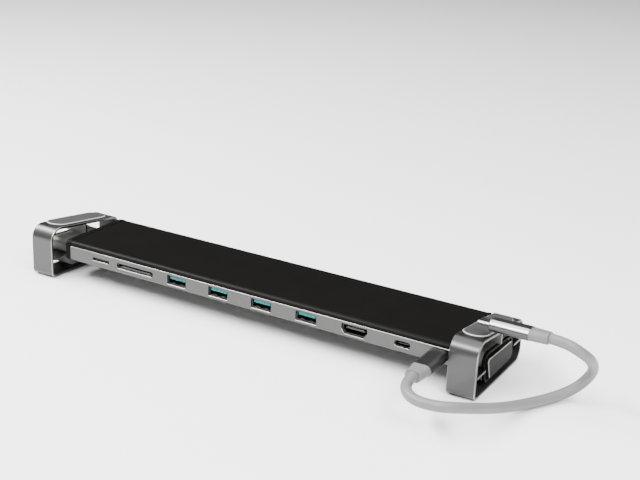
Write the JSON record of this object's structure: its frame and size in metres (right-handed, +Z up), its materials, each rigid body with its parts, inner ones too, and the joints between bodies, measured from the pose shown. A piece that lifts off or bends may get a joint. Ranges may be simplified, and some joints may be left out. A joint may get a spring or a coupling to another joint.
{
  "type": "laptop docking station",
  "caption": "Slim laptop docking bar with a row of data, card and video ports, carried by two sliding ring feet that raise the laptop's rear, with a short plug-in lead.",
  "frame": {"origin": "on the table, midway between the two ring feet and midway along their depth, at rest", "axes": "+X along the bar, -Y is the side with the ports, +Z up"},
  "size_m": [0.354, 0.1118, 0.0426],
  "materials": {
    "anodised_grey": "satin bead-blasted anodised",
    "cover_black": "soft satin black",
    "frame_black": "fine matte moulded",
    "hub_dark": "fine matte moulded",
    "pad_grey": "soft matte silicone",
    "end_pad_grey": "fine matte with a light edge",
    "sole_rubber": "matte rubber",
    "rail_metal": "brushed",
    "spring_steel": "bright rolled",
    "socket_metal": "nickel plated",
    "tongue_teal": "moulded teal",
    "tongue_black": "moulded black",
    "board_green": "solder mask",
    "chip_black": "moulded epoxy",
    "capacitor_metal": "bare can",
    "plug_metal": "satin anodised",
    "plug_tip_steel": "nickel plated",
    "relief_grey": "soft matte moulded",
    "cord_grey": "soft matte jacket"
  },
  "bodies": {
    "dock": {"bar_body": "anodised_grey", "top_cover": "cover_black", "left_end_cap": "frame_black", "left_rail_guide": "frame_black", "right_end_cap": "frame_black", "right_rail_guide": "frame_black", "left_detent_spring": "spring_steel", "right_detent_spring": "spring_steel", "board_screws": "spring_steel", "usb_a_shell_1": "socket_metal", "usb_a_shell_2": "socket_metal", "usb_a_shell_3": "socket_metal", "usb_a_shell_4": "socket_metal", "video_port_shell": "socket_metal", "card_slot_shell": "socket_metal", "small_card_shell": "socket_metal", "usb_c_shell": "socket_metal", "host_port_shell": "socket_metal", "usb_a_tongue_1": "tongue_teal", "usb_a_tongue_2": "tongue_teal", "usb_a_tongue_3": "tongue_teal", "usb_a_tongue_4": "tongue_teal", "video_port_tongue": "tongue_black", "usb_c_tongue": "tongue_black", "card_slot_tray": "tongue_black", "small_card_tray": "tongue_black", "main_board": "board_green", "hub_controller_chip": "chip_black", "video_converter_chip": "chip_black", "card_reader_chip": "chip_black", "capacitors": "capacitor_metal", "host_plug": "plug_metal", "laptop_plug": "plug_metal", "host_plug_tip": "plug_tip_steel", "laptop_plug_tip": "plug_tip_steel", "host_strain_relief": "relief_grey", "laptop_strain_relief": "relief_grey", "lead_cord": "cord_grey"},
    "left_foot": {"left_foot_ring": "anodised_grey", "left_foot_liner": "frame_black", "left_foot_sole": "sole_rubber", "left_laptop_pad": "pad_grey", "left_hub": "hub_dark", "left_slide_rail": "rail_metal", "left_rail_screws": "spring_steel", "left_end_frame": "frame_black", "left_end_pad": "end_pad_grey"},
    "right_foot": {"right_foot_ring": "anodised_grey", "right_foot_liner": "frame_black", "right_foot_sole": "sole_rubber", "right_laptop_pad": "pad_grey", "right_hub": "hub_dark", "right_slide_rail": "rail_metal", "right_rail_screws": "spring_steel", "right_end_frame": "frame_black", "right_end_pad": "end_pad_grey"}
  },
  "joints": [
    {"name": "left_foot_slide", "type": "slide", "parent": "dock", "child": "left_foot", "axis": [-1, 0, 0], "range_m": [-0.0064, 0.018]},
    {"name": "right_foot_slide", "type": "slide", "parent": "dock", "child": "right_foot", "axis": [1, 0, 0], "range_m": [0, 0.0168]}
  ]
}
